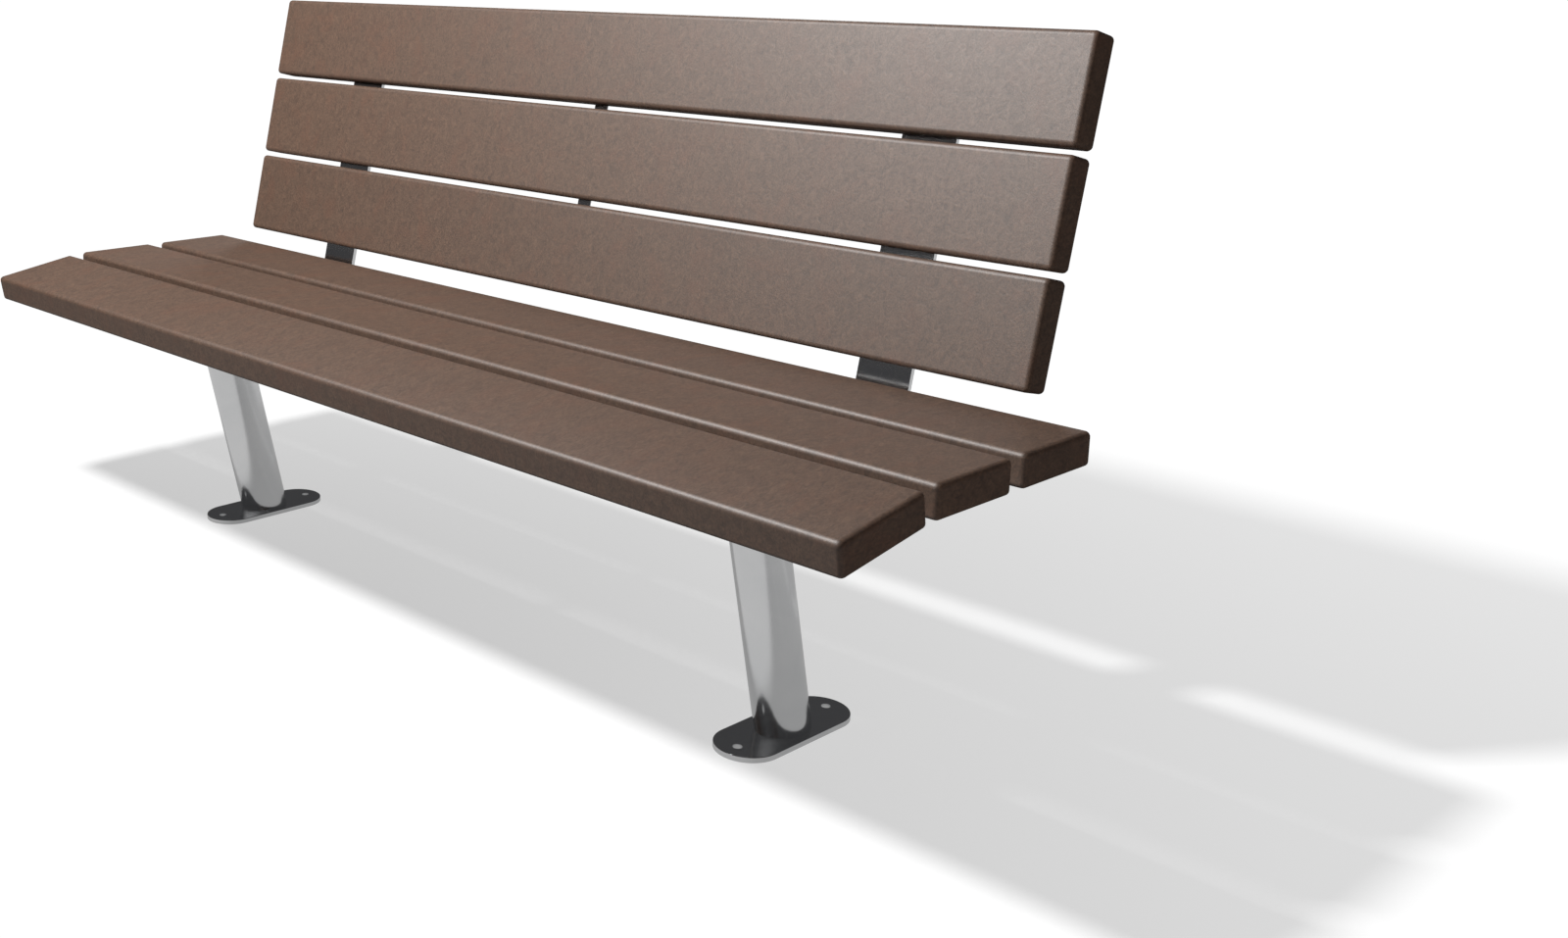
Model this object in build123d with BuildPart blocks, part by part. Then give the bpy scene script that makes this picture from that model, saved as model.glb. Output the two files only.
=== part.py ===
"""Park bench with a backrest: six planks on two bent flat bars, each bar on one leaning oval leg.

Millimetres, +Z up, +X along the bench, -Y to the front. The origin is on the ground, in the middle of
the bench's length and depth.
"""

import os
from math import cos, radians, sin

from build123d import *

os.makedirs("parts", exist_ok=True)

# ---- planks ----
SEAT_LENGTH = 2000
BACK_LENGTH = 1802
FRONT_PLANK_WIDTH = 155.6
PLANK_WIDTH = 150.6  # the other five planks
PLANK_THICKNESS = 45.3
PLANK_EDGE_RADIUS = 7.5
PLANK_UNDERSIDE_RADIUS = 6  # round the face that lies on the bars
SEAT_HEIGHT = 485.7  # ground to the top of the two level seat planks
SEAT_GAP = 26.6  # between the two level seat planks
BACK_GAP = 9.4
FRONT_SLOPE = 9.5  # degrees that the front seat plank falls towards the front
BACK_SLOPE = 76.7  # degrees that the backrest rises from level
SEAT_FRONT_Y = -156.4  # front edge of the middle seat plank

# ---- supports ----
SUPPORT_X = 650  # middle of each leg from the middle of the bench
BAR_WIDTH = 90
BAR_THICKNESS = 8
BAR_EDGE_RADIUS = 1
BAR_CORNER_RADIUS = 12
KINK_SETBACK = 7.3  # from the middle seat plank's front edge forward to the bar's front bend
KINK_RADIUS = 24  # on the bar's upper face
ELBOW_SETBACK = 36.5  # from the rear seat plank's back edge back to the line of the backrest
ELBOW_RADIUS = 30  # on the bar's inner face
FRONT_PLANK_START = 9.4  # from the front bend down the slope to the front plank
BACK_PLANK_START = 63.9  # from the elbow's sharp corner up the slope to the lowest back plank
BAR_FRONT_INSET = 20  # bar end behind the front plank's front edge
BAR_TOP_INSET = 25  # bar end below the upper plank's top edge

# ---- straps under the seat and behind the backrest, in the middle of the bench ----
STRAP_WIDTH = 30
STRAP_CORNER_RADIUS = 6
STRAP_EDGE_RADIUS = 0.5
SEAT_STRAP_THICKNESS = 5
BACK_STRAP_THICKNESS = 2
STRAP_OVERHANG = 30  # strap end past its last screw

# ---- legs and base plates ----
LEG_WIDTH = 72  # along the bench
LEG_DEPTH = 92  # in level section
LEG_WALL = 3
LEG_LEAN = 12.7  # degrees from upright, the top to the front
FOOT_Y = SEAT_FRONT_Y + 181.98  # middle of each base plate and foot of each leg
BASE_LENGTH = 245
BASE_WIDTH = 98
BASE_THICKNESS = 8
BASE_EDGE_RADIUS = 1
ANCHOR_SPACING = 193
ANCHOR_HOLE_RADIUS = 7

# ---- M8 coach screws and their washers ----
SCREW_RADIUS = 3.9
SCREW_DEPTH = 30  # into the plank
SCREW_TIP = 2.5
PILOT_RADIUS = 4
PILOT_DEPTH = 33
CLEARANCE_RADIUS = 4.5
HEAD_ACROSS_FLATS = 13
HEAD_HEIGHT = 5.3
HEAD_CHAMFER = 0.6
WASHER_RADIUS = 8
WASHER_THICKNESS = 1.6
SCREW_HALF_SPACING = 25  # from the middle of the bar to each of its two rows of screws
MIDDLE_PLANK_SCREW_LINE = 22  # behind the plank's front edge, clear of the leg below

# ---- worked out from the above ----
PITCH_SEAT = PLANK_WIDTH + SEAT_GAP
PITCH_BACK = PLANK_WIDTH + BACK_GAP
UNDERSIDE_Z = SEAT_HEIGHT - PLANK_THICKNESS
KINK_Y = SEAT_FRONT_Y - KINK_SETBACK
ELBOW_Y = SEAT_FRONT_Y + PITCH_SEAT + PLANK_WIDTH + ELBOW_SETBACK
LEG_TOP_Z = UNDERSIDE_Z - BAR_THICKNESS
LEG_HEIGHT = LEG_TOP_Z - BASE_THICKNESS


def slope(y, z, angle):
    """A plane through (0, y, z) that runs along X and rises towards +Y by the angle."""
    turn = radians(angle)
    return Plane(origin=(0, y, z), x_dir=(1, 0, 0), z_dir=(0, -sin(turn), cos(turn)))


def along(y, z, angle, distance):
    """The (y, z) point that lies the distance up a slope from (y, z)."""
    return y + distance * cos(radians(angle)), z + distance * sin(radians(angle))


# The planks lie on three faces of the bent bars: the front slope, the level seat and the backrest.
front_face = slope(KINK_Y, UNDERSIDE_Z, FRONT_SLOPE)
level_face = slope(SEAT_FRONT_Y, UNDERSIDE_Z, 0)
back_face = slope(ELBOW_Y, UNDERSIDE_Z, BACK_SLOPE)

# name: the face it lies on, its lower or front edge on that face, its width, its length
planks = {
    "seat_plank_front": (front_face, -FRONT_PLANK_START - FRONT_PLANK_WIDTH, FRONT_PLANK_WIDTH, SEAT_LENGTH),
    "seat_plank_middle": (level_face, 0, PLANK_WIDTH, SEAT_LENGTH),
    "seat_plank_rear": (level_face, PITCH_SEAT, PLANK_WIDTH, SEAT_LENGTH),
    "back_plank_lower": (back_face, BACK_PLANK_START, PLANK_WIDTH, BACK_LENGTH),
    "back_plank_middle": (back_face, BACK_PLANK_START + PITCH_BACK, PLANK_WIDTH, BACK_LENGTH),
    "back_plank_upper": (back_face, BACK_PLANK_START + 2 * PITCH_BACK, PLANK_WIDTH, BACK_LENGTH),
}


def middle_line(name):
    """The line along the middle of a plank, on its face."""
    face, start, width, length = planks[name]
    return start + width / 2


def screw_line(name):
    """The line on which a plank is screwed to the two bars."""
    return MIDDLE_PLANK_SCREW_LINE if name == "seat_plank_middle" else middle_line(name)


def bar_points(name, x_middle):
    """Where a plank is screwed to the bar at x_middle, on the plank's face."""
    line = screw_line(name)
    return [(x_middle - SCREW_HALF_SPACING, line), (x_middle + SCREW_HALF_SPACING, line)]


def make_plank(name):
    """A plank with rounded edges and blind pilot holes from its underside."""
    face, start, width, length = planks[name]
    holes = bar_points(name, -SUPPORT_X) + bar_points(name, SUPPORT_X) + [(0, middle_line(name))]
    with BuildPart() as plank:
        with BuildSketch(face):
            with Locations((0, start + width / 2)):
                Rectangle(length, width)
        extrude(amount=PLANK_THICKNESS)
        low_edges = plank.edges().filter_by(lambda edge: face.to_local_coords(edge.center()).Z < 0.01)
        fillet(plank.edges() - low_edges, PLANK_EDGE_RADIUS)
        low_edges = plank.edges().filter_by(lambda edge: face.to_local_coords(edge.center()).Z < 0.01)
        fillet(low_edges, PLANK_UNDERSIDE_RADIUS)
        with BuildSketch(face):
            with Locations(*holes):
                Circle(PILOT_RADIUS)
        extrude(amount=PILOT_DEPTH, mode=Mode.SUBTRACT)
    return plank


def make_flat_bar(path, bends, width, thickness, x_middle, corner_radius, edge_radius, places):
    """A flat bar with rounded corners and edges, and clearance holes at (point, face) places.

    The path is the (y, z) points of its upper face, and bends has one radius for each corner of it.
    """
    with BuildPart() as bar:
        with BuildSketch(Plane.YZ.offset(x_middle - width / 2)):
            with BuildLine():
                if bends:
                    FilletPolyline(*path, radius=bends)
                else:
                    Polyline(*path)
                offset(amount=thickness, side=Side.RIGHT)
            make_face()
        extrude(amount=width)
        corners = bar.edges().filter_by(GeomType.LINE).filter_by(lambda edge: abs(edge.length - thickness) < 0.01)
        fillet(corners, corner_radius)
        sides = bar.faces().filter_by(Axis.X).edges().filter_by(lambda edge: edge.length > thickness + 0.01)
        fillet(sides, edge_radius)
        for point, face in places:
            with BuildSketch(face):
                with Locations(point):
                    Circle(CLEARANCE_RADIUS)
            extrude(amount=-thickness, mode=Mode.SUBTRACT)
    return bar


def make_screws(places, thickness):
    """Coach screws through a bar, heads outside: places are (point, face) pairs."""
    with BuildPart() as screws:
        for point, face in places:
            under_head = face.offset(-thickness - WASHER_THICKNESS)
            with BuildSketch(under_head):
                with Locations(point):
                    RegularPolygon(HEAD_ACROSS_FLATS / 2, side_count=6, major_radius=False)
            extrude(amount=-HEAD_HEIGHT)
            with BuildSketch(under_head):
                with Locations(point):
                    Circle(SCREW_RADIUS)
            extrude(amount=thickness + WASHER_THICKNESS + SCREW_DEPTH)
            with BuildSketch(face.offset(SCREW_DEPTH)):
                with Locations(point):
                    Circle(SCREW_RADIUS)
            extrude(amount=SCREW_TIP, taper=45)
        rims = screws.faces().filter_by(lambda face: len(face.edges()) == 6).edges()
        chamfer(rims, HEAD_CHAMFER)
    return screws


def make_washers(places, thickness):
    """Flat washers on the outside of a bar: places are (point, face) pairs."""
    with BuildPart() as washers:
        for point, face in places:
            with BuildSketch(face.offset(-thickness)):
                with Locations(point):
                    Circle(WASHER_RADIUS)
                    Circle(CLEARANCE_RADIUS, mode=Mode.SUBTRACT)
            extrude(amount=-WASHER_THICKNESS)
    return washers


def make_base_plate(x_middle):
    """A plate with two round ends and an anchor hole near each end."""
    with BuildPart() as base:
        with BuildSketch():
            with Locations((x_middle, FOOT_Y)):
                SlotOverall(BASE_LENGTH, BASE_WIDTH, rotation=90)
        extrude(amount=BASE_THICKNESS)
        fillet(base.faces().sort_by(Axis.Z)[-1].edges(), BASE_EDGE_RADIUS)
        with BuildSketch():
            with Locations((x_middle, FOOT_Y)):
                with GridLocations(0, ANCHOR_SPACING, 1, 2):
                    Circle(ANCHOR_HOLE_RADIUS)
        extrude(amount=BASE_THICKNESS, mode=Mode.SUBTRACT)
    return base


def make_leg(x_middle):
    """A leaning oval tube between the base plate and the bar's underside, cut level at both ends."""
    lean = radians(LEG_LEAN)
    with BuildPart() as leg:
        with BuildSketch(Plane.XY.offset(BASE_THICKNESS)):
            with Locations((x_middle, FOOT_Y)):
                Ellipse(LEG_WIDTH / 2, LEG_DEPTH / 2)
                Ellipse(LEG_WIDTH / 2 - LEG_WALL, LEG_DEPTH / 2 - LEG_WALL, mode=Mode.SUBTRACT)
        extrude(amount=LEG_HEIGHT / cos(lean), dir=(0, -sin(lean), cos(lean)))
    return leg


def save(piece, name):
    """Label a finished piece and write it."""
    piece.part.label = name
    export_step(piece.part, f"parts/{name}.step")


# ---- planks ----
for plank_name in planks:
    save(make_plank(plank_name), plank_name)

# ---- supports: one bar, leg and base plate on each side ----
bar_front = along(KINK_Y, UNDERSIDE_Z, FRONT_SLOPE, BAR_FRONT_INSET - FRONT_PLANK_START - FRONT_PLANK_WIDTH)
bar_top_distance = BACK_PLANK_START + 2 * PITCH_BACK + PLANK_WIDTH - BAR_TOP_INSET
bar_top = along(ELBOW_Y, UNDERSIDE_Z, BACK_SLOPE, bar_top_distance)
bar_path = [bar_front, (KINK_Y, UNDERSIDE_Z), (ELBOW_Y, UNDERSIDE_Z), bar_top]

seat_names = [name for name in planks if name.startswith("seat")]
back_names = [name for name in planks if name.startswith("back")]

for side, support_x in (("left", -SUPPORT_X), ("right", SUPPORT_X)):
    all_places = []
    for part_of_bench, names in (("seat", seat_names), ("back", back_names)):
        places = [(point, planks[name][0]) for name in names for point in bar_points(name, support_x)]
        save(make_screws(places, BAR_THICKNESS), f"{part_of_bench}_screws_{side}")
        save(make_washers(places, BAR_THICKNESS), f"{part_of_bench}_washers_{side}")
        all_places += places
    support_bar = make_flat_bar(
        bar_path,
        [KINK_RADIUS, ELBOW_RADIUS],
        BAR_WIDTH,
        BAR_THICKNESS,
        support_x,
        BAR_CORNER_RADIUS,
        BAR_EDGE_RADIUS,
        all_places,
    )
    save(support_bar, f"support_bar_{side}")
    save(make_leg(support_x), f"leg_tube_{side}")
    save(make_base_plate(support_x), f"base_plate_{side}")

# ---- straps that tie the planks together in the middle ----
strap_front = along(KINK_Y, UNDERSIDE_Z, FRONT_SLOPE, middle_line("seat_plank_front") - STRAP_OVERHANG)
strap_rear = (SEAT_FRONT_Y + middle_line("seat_plank_rear") + STRAP_OVERHANG, UNDERSIDE_Z)
strap_low = along(ELBOW_Y, UNDERSIDE_Z, BACK_SLOPE, middle_line("back_plank_lower") - STRAP_OVERHANG)
strap_high = along(ELBOW_Y, UNDERSIDE_Z, BACK_SLOPE, middle_line("back_plank_upper") + STRAP_OVERHANG)
straps = {
    "seat": ([strap_front, (KINK_Y, UNDERSIDE_Z), strap_rear], [KINK_RADIUS], SEAT_STRAP_THICKNESS, seat_names),
    "back": ([strap_low, strap_high], [], BACK_STRAP_THICKNESS, back_names),
}
for part_of_bench, (path, bends, thickness, names) in straps.items():
    places = [((0, middle_line(name)), planks[name][0]) for name in names]
    strap = make_flat_bar(
        path, bends, STRAP_WIDTH, thickness, 0, STRAP_CORNER_RADIUS, STRAP_EDGE_RADIUS, places
    )
    save(strap, f"{part_of_bench}_strap")
    save(make_screws(places, thickness), f"{part_of_bench}_strap_screws")
    save(make_washers(places, thickness), f"{part_of_bench}_strap_washers")
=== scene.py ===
"""Park bench with a backrest: brown plastic planks on bent flat steel bars and leaning oval steel legs.

Metres, +Z up, +X along the bench, -Y to the front. The origin is on the ground, in the middle of the bench.
"""
from math import atan2, cos, pi, radians, sin, tan

import bmesh
import bpy
import numpy as np
from mathutils import Matrix, Vector


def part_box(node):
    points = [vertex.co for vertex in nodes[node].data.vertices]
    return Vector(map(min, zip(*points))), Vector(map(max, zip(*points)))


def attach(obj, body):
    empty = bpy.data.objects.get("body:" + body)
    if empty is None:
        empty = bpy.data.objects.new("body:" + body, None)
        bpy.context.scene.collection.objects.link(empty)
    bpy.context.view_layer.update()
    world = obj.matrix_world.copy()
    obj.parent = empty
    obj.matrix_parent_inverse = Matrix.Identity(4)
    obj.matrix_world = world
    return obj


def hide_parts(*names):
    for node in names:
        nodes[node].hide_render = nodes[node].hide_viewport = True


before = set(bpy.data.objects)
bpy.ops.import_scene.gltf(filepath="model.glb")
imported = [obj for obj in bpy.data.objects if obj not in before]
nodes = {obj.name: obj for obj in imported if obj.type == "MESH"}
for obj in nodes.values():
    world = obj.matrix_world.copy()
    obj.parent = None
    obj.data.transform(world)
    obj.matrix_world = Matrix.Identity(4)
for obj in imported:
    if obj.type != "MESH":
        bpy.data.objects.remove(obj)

# ---- camera ----
SENSOR_WIDTH = 36.0
CAMERA_PLACE = (2.0306, -1.7219, 1.0674)
CAMERA_TURN = radians(48.64)  # to the left of straight back
CAMERA_DIP = radians(13.08)  # below level
LENS = 38.802
LENS_SHIFT = (0.1821, -0.0798)

# ---- lights and ground ----
KEY_PLACE = (-0.416, -1.290, 2.255)
KEY_RADIUS = 0.12
KEY_POWER = 132.0
KEY_ON_WHITE = 7.54  # what the key lamp adds to a white floor, times the squared distance from the lamp
SKY_GREY = 0.055
SKY_BLUE_SHARE = 1.04  # how much stronger blue is in the dim surround than red and green
GROUND_RADIUS = 120.0
GROUND_SIDES = 96
GROUND_SHADE = 0.22  # the floor's own shade one metre from the key lamp; it grows paler with distance
GROUND_SHADE_POWER = 0.6
GROUND_PALEST = 0.8
GROUND_IN_STEEL = 0.6  # how bright the floor is to the bench, as a share of how the camera sees it
FILL_SIZE = 1.2
FILL_TARGET = Vector((0, 0, 0.5))
# name: place, power, colour, whether it leaves a sheen
FILLS = {
    "back fill": ((-1.8, 2.4, 2.0), 32.0, (1.0, 1.0, 1.0), True),
    "top fill": ((-1.4, -0.1, 2.2), 19.0, (1.0, 1.0, 1.0), False),
    "front fill": ((-1.8, -2.3, 0.9), 12.0, (1.0, 0.8, 0.6), False),
    "end fill": ((3.0, -0.3, 0.7), 9.0, (1.0, 0.9, 0.8), False),
}

# ---- patterns ----
CLOUD_RANGE = (0.25, 0.75)  # the part of a cloud pattern that is spread over the whole scale
LINE_RANGE = (0.3, 0.7)
FINE_TO_GRAIN = 4.0  # the fine specks' scale, times the grain's

# ---- plank plastic ----
PLASTIC_DARK = (0.050, 0.026, 0.015)
PLASTIC_LIGHT = (0.117, 0.067, 0.042)
PLASTIC_REDDISH = (0.100, 0.045, 0.025)
PLASTIC_PATCH_SCALE = 20.0
PLASTIC_GRAIN_SCALE = 110.0
PLASTIC_GRAIN_STRETCH = (1.0, 0.5, 0.8)  # below 1 draws the grain out, here across the seat planks
PLASTIC_RED_PATCHES = (0.5, 0.9)  # where in the patches the reddish colour starts, and where it is strongest
PLASTIC_REDDEST = 0.5  # its share there
PLASTIC_SPECK_RANGE = (0.1, 0.9)
PLASTIC_SPECKS = (0.72, 1.28)  # the darkest and palest fine specks, as a share of the colour under them
PLASTIC_ROUGHNESS = (0.60, 0.56)  # in the low and the high parts of the grain
PLASTIC_SPECULAR = 1.0
PLASTIC_IOR = 1.54
PLASTIC_GRAIN_HEIGHT = 0.0003  # metres
PLASTIC_GRAIN_STRENGTH = 0.35
PLASTIC_SPECK_HEIGHT = 0.4  # the specks' height as a share of the grain's
PLANK_SHADE_STEP = 0.03  # how far one plank is darker or paler than its neighbours
PLANK_PATTERN_STEP = (0.37, 1.9, 0.83)  # from one plank's stretch of the pattern to the next plank's

# ---- steel: how the fine lines are drawn out, tone, roughness ----
STEELS = {
    "leg": ((1.0, 1.0, 0.04), 0.75, 0.17),
    "flat bar": ((1.0, 0.04, 0.04), 0.75, 0.16),
    "base plate": ((1.0, 0.06, 1.0), 0.75, 0.16),
    "fastener": ((1.0, 1.0, 1.0), 0.75, 0.22),
    "weld": ((1.0, 1.0, 1.0), 0.62, 0.32),
}
STEEL_DULL = (0.93, 0.94, 0.95)  # the dull and bright patches, as shares of the tone
STEEL_BRIGHT = (1.03, 1.03, 1.035)
STEEL_PATCH_SCALE = 9.0
STEEL_MARK_SCALE = 60.0
STEEL_LINE_SCALE = 700.0
STEEL_LINE_ROUGHNESS = 0.15  # how far the lines move the roughness up and down, as a share of it
STEEL_SMUDGE_RANGE = (0.5, 1.0)  # where in the grain a smudge starts, and where it is strongest
STEEL_SMUDGE_ROUGHNESS = 0.05
STEEL_LINE_HEIGHT = 0.00004  # metres
STEEL_LINE_STRENGTH = 0.25

# ---- fasteners and welds, in metres ----
HEAD_ACROSS_FLATS = 0.013
HEAD_FLAT_SHARE = 0.95  # the head's round top face, as a share of the size across flats
HEAD_CONE = radians(30)
SHANK_RADIUS = 0.0039
TIP_RADIUS = 0.0014
TIP_LENGTH = 0.0025
ROUND_STEPS = 48
WASHER_EDGE = 0.0003
WASHER_REACH = 0.02  # the corner points of one washer are all nearer to each other than this
SCREW_REACH = 0.01  # a screw's corner points are nearer to its axis than this
SCREW_LENGTH = 0.06  # and nearer to its washer's middle than this
LEG_HALF_WIDTH = 0.036
LEG_HALF_DEPTH = 0.046
BEAD_RADIUS = 0.0028
BEAD_RIPPLE = 0.00025
BEAD_RIPPLES = 70
BEAD_SIDES = 12
BEAD_STEPS = 420
BEAD_DROP = 0.35  # how far the bead's middle is below the leg's top, as a share of its radius

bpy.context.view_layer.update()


# ---- small helpers for node trees ----

def put(tree, kind, **settings):
    """Add a shader node and set its own properties."""
    node = tree.nodes.new("ShaderNode" + kind)
    for name, value in settings.items():
        setattr(node, name, value)
    return node


def feed(tree, socket, value):
    """Set an input from a plain value, or link it from another node's socket."""
    if isinstance(value, bpy.types.NodeSocket):
        tree.links.new(value, socket)
    else:
        socket.default_value = value


def maths(tree, operation, first, second=0.0, clamp=False):
    """One Math node; returns its output."""
    node = put(tree, "Math", operation=operation, use_clamp=clamp)
    feed(tree, node.inputs[0], first)
    feed(tree, node.inputs[1], second)
    return node.outputs[0]


def spread(tree, value, low, high, new_low=0.0, new_high=1.0):
    """Map a value from one range to another, clamped at both ends."""
    node = put(tree, "MapRange")
    for name, number in (("From Min", low), ("From Max", high), ("To Min", new_low), ("To Max", new_high)):
        feed(tree, node.inputs[name], number)
    feed(tree, node.inputs["Value"], value)
    return node.outputs["Result"]


def blend_colours(tree, share, first, second, blend="MIX"):
    """Mix two colours; returns the mixed colour."""
    node = put(tree, "Mix", data_type="RGBA", blend_type=blend)
    feed(tree, node.inputs["Factor"], share)
    feed(tree, node.inputs[6], first)
    feed(tree, node.inputs[7], second)
    return node.outputs[2]


def stretched(tree, vector, scale, shift=(0, 0, 0)):
    """Scale and shift the pattern's coordinates."""
    node = put(tree, "Mapping")
    feed(tree, node.inputs["Vector"], vector)
    feed(tree, node.inputs["Scale"], scale)
    feed(tree, node.inputs["Location"], shift)
    return node.outputs["Vector"]


def cloud(tree, vector, scale, detail, roughness, distortion=0.0):
    """A noise pattern's value, about 0.5 in the middle."""
    node = put(tree, "TexNoise")
    feed(tree, node.inputs["Vector"], vector)
    feed(tree, node.inputs["Scale"], scale)
    feed(tree, node.inputs["Detail"], detail)
    feed(tree, node.inputs["Roughness"], roughness)
    feed(tree, node.inputs["Distortion"], distortion)
    return node.outputs["Fac"]


def new_group(name, inputs, outputs):
    """A node group with named sockets: inputs and outputs are (name, socket type, default) rows."""
    group = bpy.data.node_groups.new(name, "ShaderNodeTree")
    for in_out, rows in (("INPUT", inputs), ("OUTPUT", outputs)):
        for label, kind, default in rows:
            socket = group.interface.new_socket(name=label, in_out=in_out, socket_type="NodeSocket" + kind)
            if default is not None:
                socket.default_value = default
    return group, group.nodes.new("NodeGroupInput"), group.nodes.new("NodeGroupOutput")


def use_group(tree, group, **values):
    """Place a group in a material; a value's name has _ for each space in the socket's name."""
    node = put(tree, "Group", node_tree=group)
    for name, value in values.items():
        feed(tree, node.inputs[name.replace("_", " ")], value)
    return node


def toned(colour, tone):
    """A colour made darker or paler, with full alpha."""
    return [channel * tone for channel in colour] + [1.0]


def new_material(name):
    """A material with a Principled shader; returns it, its tree, the shader and its Object coordinates."""
    material = bpy.data.materials.new(name)
    material.use_nodes = True
    tree = material.node_tree
    shader = tree.nodes["Principled BSDF"]
    coordinates = put(tree, "TexCoord")
    return material, tree, shader, coordinates.outputs["Object"]


def raise_surface(tree, shader, height, distance, strength):
    """Feed a height through a Bump node to the shader's normal."""
    bump = put(tree, "Bump")
    feed(tree, bump.inputs["Strength"], strength)
    feed(tree, bump.inputs["Distance"], distance)
    feed(tree, bump.inputs["Height"], height)
    tree.links.new(bump.outputs["Normal"], shader.inputs["Normal"])


# ---- effects that several materials use ----

def make_mottle():
    """Soft patches with a finer grain inside them: a value of 0.5 in the middle and a grain height."""
    rows = [("Vector", "Vector", None), ("Patch Scale", "Float", 14.0), ("Grain Scale", "Float", 150.0)]
    outs = [("Patches", "Float", None), ("Grain", "Float", None), ("Fine", "Float", None)]
    group, entry, result = new_group("soft mottle", rows, outs)
    vector = entry.outputs["Vector"]
    patches = cloud(group, vector, entry.outputs["Patch Scale"], detail=3.0, roughness=0.6, distortion=0.6)
    grain = cloud(group, vector, entry.outputs["Grain Scale"], detail=4.0, roughness=0.65, distortion=1.2)
    finer = maths(group, "MULTIPLY", entry.outputs["Grain Scale"], FINE_TO_GRAIN)
    fine = cloud(group, vector, finer, detail=2.0, roughness=0.6)
    feed(group, result.inputs["Patches"], spread(group, patches, *CLOUD_RANGE))
    feed(group, result.inputs["Grain"], spread(group, grain, *CLOUD_RANGE))
    feed(group, result.inputs["Fine"], spread(group, fine, *CLOUD_RANGE))
    return group


def make_drawn_lines():
    """Fine straight lines that rolling and polishing leave along a steel part."""
    rows = [("Vector", "Vector", None), ("Spacing Scale", "Float", 900.0)]
    outs = [("Lines", "Float", None)]
    group, entry, result = new_group("drawn lines", rows, outs)
    lines = cloud(group, entry.outputs["Vector"], entry.outputs["Spacing Scale"], detail=3.0, roughness=0.7)
    feed(group, result.inputs["Lines"], spread(group, lines, *LINE_RANGE))
    return group


mottle = make_mottle()
drawn_lines = make_drawn_lines()


# ---- materials ----

def plank_plastic(name, shift, shade):
    """Brown recycled plastic with a mottled, grainy skin; each plank has its own stretch of the pattern."""
    material, tree, shader, place = new_material(name)
    spot = stretched(tree, place, PLASTIC_GRAIN_STRETCH, shift)
    pattern = use_group(
        tree, mottle, Vector=spot, Patch_Scale=PLASTIC_PATCH_SCALE, Grain_Scale=PLASTIC_GRAIN_SCALE
    )
    grain = pattern.outputs["Grain"]
    fine = pattern.outputs["Fine"]
    base = blend_colours(tree, grain, toned(PLASTIC_DARK, shade), toned(PLASTIC_LIGHT, shade))
    warm = spread(tree, pattern.outputs["Patches"], *PLASTIC_RED_PATCHES, 0.0, PLASTIC_REDDEST)
    base = blend_colours(tree, warm, base, toned(PLASTIC_REDDISH, shade))
    speck = spread(tree, fine, *PLASTIC_SPECK_RANGE, *PLASTIC_SPECKS)
    speck_colour = put(tree, "CombineColor")
    for channel in ("Red", "Green", "Blue"):
        feed(tree, speck_colour.inputs[channel], speck)
    base = blend_colours(tree, 1.0, base, speck_colour.outputs["Color"], blend="MULTIPLY")
    feed(tree, shader.inputs["Base Color"], base)
    feed(tree, shader.inputs["Roughness"], spread(tree, grain, 0.0, 1.0, *PLASTIC_ROUGHNESS))
    shader.inputs["Specular IOR Level"].default_value = PLASTIC_SPECULAR
    shader.inputs["IOR"].default_value = PLASTIC_IOR
    height = maths(tree, "ADD", grain, maths(tree, "MULTIPLY", fine, PLASTIC_SPECK_HEIGHT))
    raise_surface(tree, shader, height, PLASTIC_GRAIN_HEIGHT, PLASTIC_GRAIN_STRENGTH)
    return material


def satin_steel(part):
    """Smooth satin stainless steel for one kind of part, with its fine lines drawn out along it."""
    stretch, tone, roughness = STEELS[part]
    material, tree, shader, place = new_material(part + " steel")
    along = stretched(tree, place, stretch)
    lines = use_group(tree, drawn_lines, Vector=along, Spacing_Scale=STEEL_LINE_SCALE).outputs["Lines"]
    marks = use_group(
        tree, mottle, Vector=place, Patch_Scale=STEEL_PATCH_SCALE, Grain_Scale=STEEL_MARK_SCALE
    )
    colour = blend_colours(
        tree, marks.outputs["Patches"], toned(STEEL_DULL, tone), toned(STEEL_BRIGHT, tone)
    )
    feed(tree, shader.inputs["Base Color"], colour)
    shader.inputs["Metallic"].default_value = 1.0
    least, most = roughness * (1 - STEEL_LINE_ROUGHNESS), roughness * (1 + STEEL_LINE_ROUGHNESS)
    rough = spread(tree, lines, 0.0, 1.0, least, most)
    smudge = spread(tree, marks.outputs["Grain"], *STEEL_SMUDGE_RANGE, 0.0, STEEL_SMUDGE_ROUGHNESS)
    feed(tree, shader.inputs["Roughness"], maths(tree, "ADD", rough, smudge))
    raise_surface(tree, shader, lines, STEEL_LINE_HEIGHT, STEEL_LINE_STRENGTH)
    return material


def dress(name, material):
    """Give a CAD node one material on all its slots."""
    mesh = nodes[name].data
    mesh.materials.clear()
    mesh.materials.append(material)


def dress_planks():
    """A plank material of its own for each of the six planks."""
    plank_names = sorted(name for name in nodes if "plank" in name)
    for number, name in enumerate(plank_names):
        shift = [step * number for step in PLANK_PATTERN_STEP]
        shade = 1.0 + PLANK_SHADE_STEP * ((number * 5) % 3 - 1)
        dress(name, plank_plastic(name.replace("_", " ") + " plastic", shift, shade))


def dress_steel():
    """Satin steel on the bars, straps, legs and plates, and the finished fasteners and welds."""
    leg, bar, base, fastener, weld = [satin_steel(part) for part in STEELS]
    for name in nodes:
        if "leg" in name:
            dress(name, leg)
        elif "bar" in name or name.endswith("_strap"):
            dress(name, bar)
        elif "base" in name:
            dress(name, base)
    make_fasteners(fastener)
    lay_weld_bead("left", weld)
    lay_weld_bead("right", weld)


# ---- fasteners and welds ----

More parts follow.
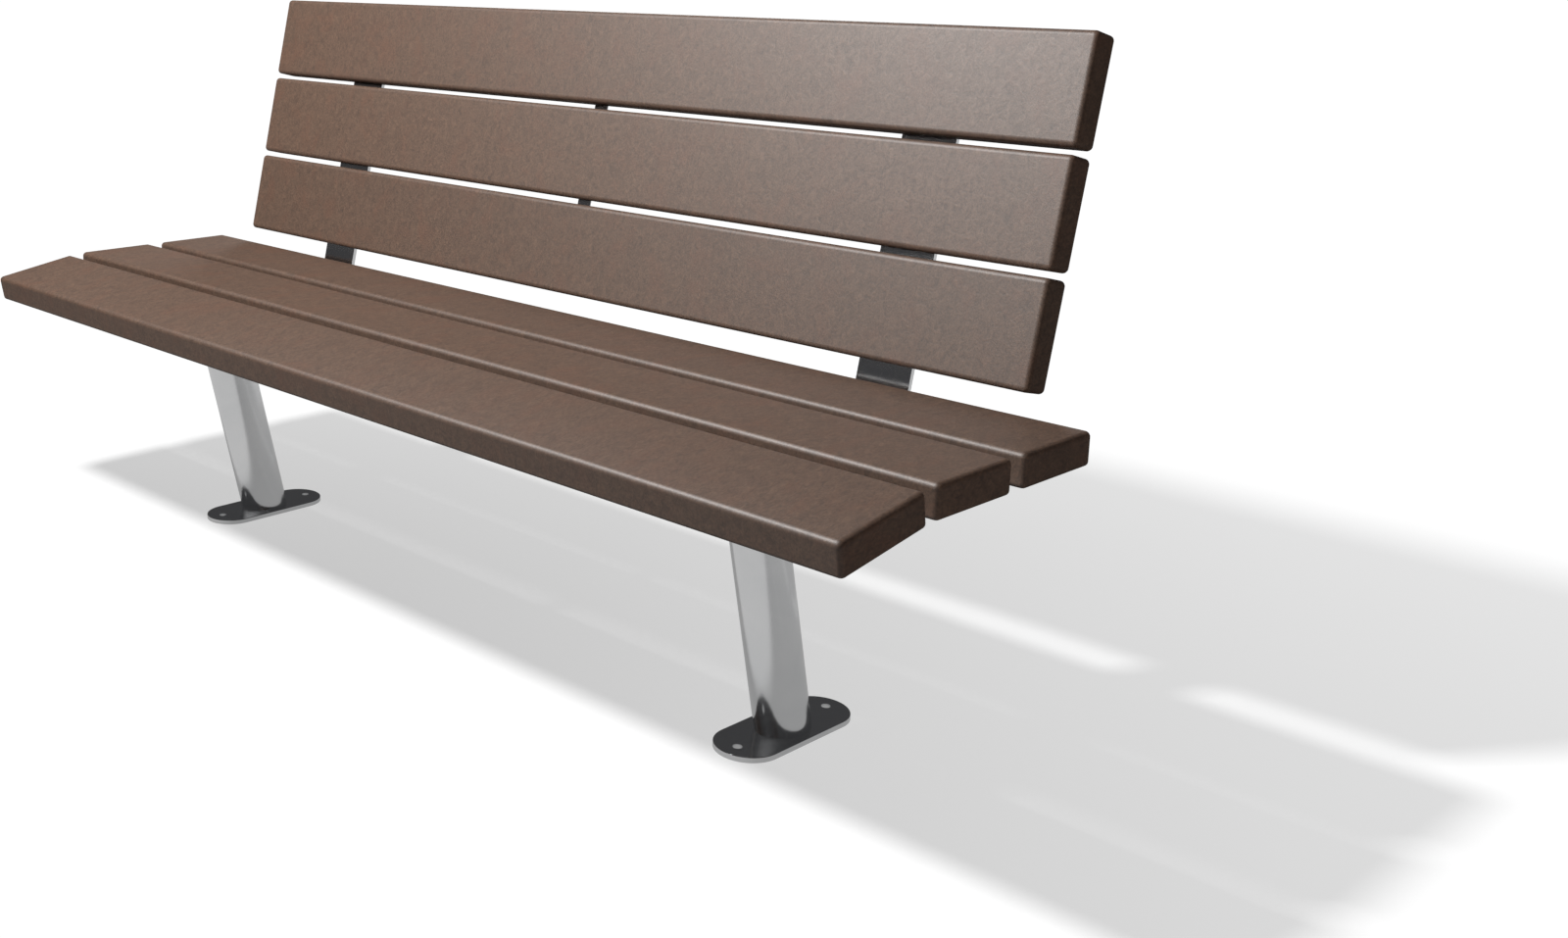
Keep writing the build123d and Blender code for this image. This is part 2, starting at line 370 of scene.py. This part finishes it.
def finish_piece(shape, name, material, stands_for=()):
    """Make a finished object of a shape, with its body and the CAD nodes it stands for."""
    bmesh.ops.recalc_face_normals(shape, faces=shape.faces[:])
    mesh = bpy.data.meshes.new(name)
    shape.to_mesh(mesh)
    shape.free()
    mesh.materials.append(material)
    piece = bpy.data.objects.new(name, mesh)
    bpy.context.scene.collection.objects.link(piece)
    steel_parts.objects.link(piece)
    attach(piece, "root")
    if stands_for:
        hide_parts(*stands_for)


def node_points(name):
    """All corner points of a CAD node, as an array."""
    points = np.empty(len(nodes[name].data.vertices) * 3)
    nodes[name].data.vertices.foreach_get("co", points)
    return points.reshape(-1, 3)


def washer_places(name):
    """Each washer in a node: its middle, its axis away from the plank, hole, rim and thickness."""
    left = node_points(name)
    places = []
    while len(left):
        near = np.linalg.norm(left - left[0], axis=1) < WASHER_REACH
        one = left[near]
        left = left[~near]
        middle = one.mean(axis=0)
        axis = np.linalg.svd(one - middle, full_matrices=False)[2][2]
        axis = axis * (1.0 if axis[1] > axis[2] else -1.0)
        heights = (one - middle) @ axis
        middle = middle + axis * (heights.max() + heights.min()) / 2
        sizes = np.linalg.norm(one - middle - np.outer((one - middle) @ axis, axis), axis=1)
        thickness = float(heights.max() - heights.min())
        places.append((Vector(middle), Vector(axis), sizes.min(), sizes.max(), thickness))
    return places


def stand_on(place, axis):
    """The matrix that puts a piece made about +Z at a place, with +Z along the axis."""
    return Matrix.Translation(place) @ axis.to_track_quat("Z", "Y").to_matrix().to_4x4()


def spin_round(shape, profile, steps):
    """Spin a profile all the way round the upright axis."""
    bmesh.ops.spin(
        shape, geom=profile, axis=(0, 0, 1), cent=(0, 0, 0), angle=2 * pi, steps=steps, use_merge=True
    )


def add_washer(shape, place, axis, hole, rim, thickness):
    """A flat ring with softly rounded edges, spun about its axis."""
    half = thickness / 2
    profile = [(hole, -half + WASHER_EDGE), (hole + WASHER_EDGE, -half), (rim - WASHER_EDGE, -half)]
    profile += [(rim, -half + WASHER_EDGE), (rim, half - WASHER_EDGE), (rim - WASHER_EDGE, half)]
    profile += [(hole + WASHER_EDGE, half), (hole, half - WASHER_EDGE)]
    corners = [shape.verts.new((radius, 0.0, height)) for radius, height in profile]
    edges = [shape.edges.new((a, b)) for a, b in zip(corners, corners[1:] + corners[:1])]
    before = set(shape.verts) - set(corners)
    spin_round(shape, corners + edges, ROUND_STEPS)
    made = [vert for vert in shape.verts if vert not in before]
    bmesh.ops.transform(shape, matrix=stand_on(place, axis), verts=made)


def hex_reach(angle):
    """How far a hexagon's outline is from its middle in a direction."""
    off_flat = (angle + pi / 6) % (pi / 3) - pi / 6
    return HEAD_ACROSS_FLATS / 2 / cos(off_flat)


def add_coach_screw(shape, place, axis, tip, head_base, head_top):
    """A hexagon head with a coned top on a plain shank, built upwards from its tip by extruding one face."""
    flat_reach = HEAD_FLAT_SHARE * HEAD_ACROSS_FLATS / 2

    def drop(angle):
        return (hex_reach(angle) - flat_reach) * tan(HEAD_CONE)

    levels = [
        (lambda angle: SHANK_RADIUS, lambda angle: tip + TIP_LENGTH),
        (lambda angle: SHANK_RADIUS, lambda angle: head_base),
        (hex_reach, lambda angle: head_base),
        (hex_reach, lambda angle: head_top - drop(angle)),
        (lambda angle: flat_reach, lambda angle: head_top),
    ]
    before = set(shape.verts)
    bmesh.ops.create_circle(
        shape, cap_ends=True, radius=TIP_RADIUS, segments=ROUND_STEPS, matrix=Matrix.Translation((0, 0, tip))
    )
    top = next(face for face in shape.faces if not set(face.verts) & before)
    for reach, height in levels:
        grown = bmesh.ops.extrude_face_region(shape, geom=[top])["geom"]
        top = next(item for item in grown if isinstance(item, bmesh.types.BMFace))
        for vert in top.verts:
            angle = atan2(vert.co.y, vert.co.x)
            vert.co = (reach(angle) * cos(angle), reach(angle) * sin(angle), height(angle))
    made = [vert for vert in shape.verts if vert not in before]
    bmesh.ops.transform(shape, matrix=stand_on(place, axis), verts=made)


def make_fasteners(material):
    """Washers and coach screws in place of the plain ones, one piece for each CAD node."""
    for washer_node in [name for name in nodes if "washers" in name]:
        screw_node = washer_node.replace("washers", "screws")
        screw_points = node_points(screw_node)
        washers = bmesh.new()
        screws = bmesh.new()
        for middle, axis, hole, rim, thickness in washer_places(washer_node):
            add_washer(washers, middle, axis, hole, rim, thickness)
            offsets = screw_points - np.array(middle)
            heights = offsets @ np.array(axis)
            aside = np.linalg.norm(offsets - np.outer(heights, np.array(axis)), axis=1)
            mine = heights[(aside < SCREW_REACH) & (abs(heights) < SCREW_LENGTH)]
            add_coach_screw(screws, middle, axis, mine.min(), thickness / 2, mine.max())
        finish_piece(washers, "rounded_" + washer_node, material, [washer_node])
        finish_piece(screws, "coach_" + screw_node, material, [screw_node])


def lay_weld_bead(side, material):
    """A rippled bead of weld all round the top of a leg, under its flat bar."""
    low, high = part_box("leg_tube_" + side)
    middle = Vector(((low[0] + high[0]) / 2, low[1] + LEG_HALF_DEPTH, high[2] - BEAD_RADIUS * BEAD_DROP))
    shape = bmesh.new()
    upright = Matrix.Translation((1, 0, 0)) @ Matrix.Rotation(pi / 2, 4, "X")
    bmesh.ops.create_circle(shape, radius=BEAD_RADIUS, segments=BEAD_SIDES, matrix=upright)
    spin_round(shape, shape.verts[:] + shape.edges[:], BEAD_STEPS)
    for vert in shape.verts:
        angle = atan2(vert.co.y, vert.co.x)
        outward = Vector((cos(angle) * LEG_HALF_DEPTH, sin(angle) * LEG_HALF_WIDTH, 0)).normalized()
        on_leg = Vector((cos(angle) * LEG_HALF_WIDTH, sin(angle) * LEG_HALF_DEPTH, 0))
        swell = 1 + BEAD_RIPPLE / BEAD_RADIUS * sin(BEAD_RIPPLES * angle)
        reach = (vert.co.xy.length - 1) * swell
        vert.co = middle + on_leg + outward * reach + Vector((0, 0, vert.co.z * swell))
    finish_piece(shape, "weld_bead_" + side, material)


# ---- ground, lights and camera ----

def lay_ground():
    """A pale floor. It glows by what the key lamp doesn't give it, so that it is white wherever it is lit."""
    mesh = bpy.data.meshes.new("ground")
    shape = bmesh.new()
    bmesh.ops.create_circle(shape, cap_ends=True, radius=GROUND_RADIUS, segments=GROUND_SIDES)
    shape.to_mesh(mesh)
    shape.free()
    ground = bpy.data.objects.new("ground", mesh)
    bpy.context.scene.collection.objects.link(ground)
    material, tree, shader, place = new_material("pale floor")
    shader.inputs["Roughness"].default_value = 1.0
    shader.inputs["Specular IOR Level"].default_value = 0.0
    path = put(tree, "LightPath")
    seen = spread(tree, path.outputs["Is Camera Ray"], 0.0, 1.0, GROUND_IN_STEEL, 1.0)
    to_lamp = put(tree, "VectorMath", operation="DISTANCE")
    feed(tree, to_lamp.inputs[0], place)
    feed(tree, to_lamp.inputs[1], KEY_PLACE)
    distance = to_lamp.outputs["Value"]
    paler = maths(tree, "MULTIPLY", maths(tree, "POWER", distance, GROUND_SHADE_POWER), GROUND_SHADE)
    shade = maths(tree, "MINIMUM", paler, GROUND_PALEST)
    feed(tree, shader.inputs["Base Color"], maths(tree, "MULTIPLY", seen, shade))
    on_shade = maths(tree, "MULTIPLY", shade, KEY_ON_WHITE)
    lit = maths(tree, "DIVIDE", on_shade, maths(tree, "POWER", distance, 2.0))
    glow = maths(tree, "MULTIPLY", seen, maths(tree, "SUBTRACT", 1.0, lit, clamp=True))
    feed(tree, shader.inputs["Emission Strength"], glow)
    shader.inputs["Emission Color"].default_value = (1.0, 1.0, 1.0, 1.0)
    mesh.materials.append(material)
    ground.light_linking.receiver_collection = steel_parts


def hang_key_lamp():
    """One soft round lamp above and in front, to the left of the middle; it fades gently with distance."""
    lamp = bpy.data.lights.new("key lamp", "POINT")
    lamp.shadow_soft_size = KEY_RADIUS
    lamp.energy = KEY_POWER
    lamp.use_nodes = True
    tree = lamp.node_tree
    falloff = put(tree, "LightFalloff")
    falloff.inputs["Strength"].default_value = 1.0
    tree.links.new(falloff.outputs["Linear"], tree.nodes["Emission"].inputs["Strength"])
    key = bpy.data.objects.new("key lamp", lamp)
    key.location = KEY_PLACE
    bpy.context.scene.collection.objects.link(key)


def hang_fill_lamps():
    """Weak square lamps that light the planks alone, so that the floor keeps one shadow."""
    for name, (place, power, colour, sheen) in FILLS.items():
        lamp = bpy.data.lights.new(name, "AREA")
        lamp.size = FILL_SIZE
        lamp.energy = power
        lamp.color = colour
        fill = bpy.data.objects.new(name, lamp)
        fill.location = place
        fill.rotation_mode = "QUATERNION"
        fill.rotation_quaternion = (FILL_TARGET - Vector(place)).to_track_quat("-Z", "Y")
        bpy.context.scene.collection.objects.link(fill)
        fill.visible_glossy = sheen
        fill.light_linking.receiver_collection = planks


def paint_sky():
    """A dim grey surround that the camera sees as white."""
    world = bpy.data.worlds.new("studio")
    world.use_nodes = True
    tree = world.node_tree
    tree.nodes.clear()
    output = put(tree, "OutputWorld")
    dim = put(tree, "Background")
    dim.inputs["Color"].default_value = (SKY_GREY, SKY_GREY, SKY_GREY * SKY_BLUE_SHARE, 1.0)
    pale = put(tree, "Background")
    pale.inputs["Color"].default_value = (1.0, 1.0, 1.0, 1.0)
    choose = put(tree, "MixShader")
    path = put(tree, "LightPath")
    feed(tree, choose.inputs[0], path.outputs["Is Camera Ray"])
    feed(tree, choose.inputs[1], dim.outputs[0])
    feed(tree, choose.inputs[2], pale.outputs[0])
    tree.links.new(choose.outputs[0], output.inputs["Surface"])
    bpy.context.scene.world = world


def place_camera():
    """The camera stands in front of the bench's right end, a little above it."""
    lens = bpy.data.cameras.new("camera")
    lens.sensor_width = SENSOR_WIDTH
    lens.sensor_fit = "HORIZONTAL"
    lens.lens = LENS
    lens.shift_x, lens.shift_y = LENS_SHIFT
    camera = bpy.data.objects.new("camera", lens)
    camera.location = CAMERA_PLACE
    camera.rotation_euler = (radians(90) - CAMERA_DIP, 0.0, CAMERA_TURN)
    bpy.context.scene.collection.objects.link(camera)
    bpy.context.scene.camera = camera


planks = bpy.data.collections.new("planks")
steel_parts = bpy.data.collections.new("steel parts")
for node_name, node in nodes.items():
    (planks if "plank" in node_name else steel_parts).objects.link(node)

dress_planks()
dress_steel()
lay_ground()
hang_key_lamp()
hang_fill_lamps()
paint_sky()
place_camera()
bpy.context.scene.view_settings.view_transform = "Standard"
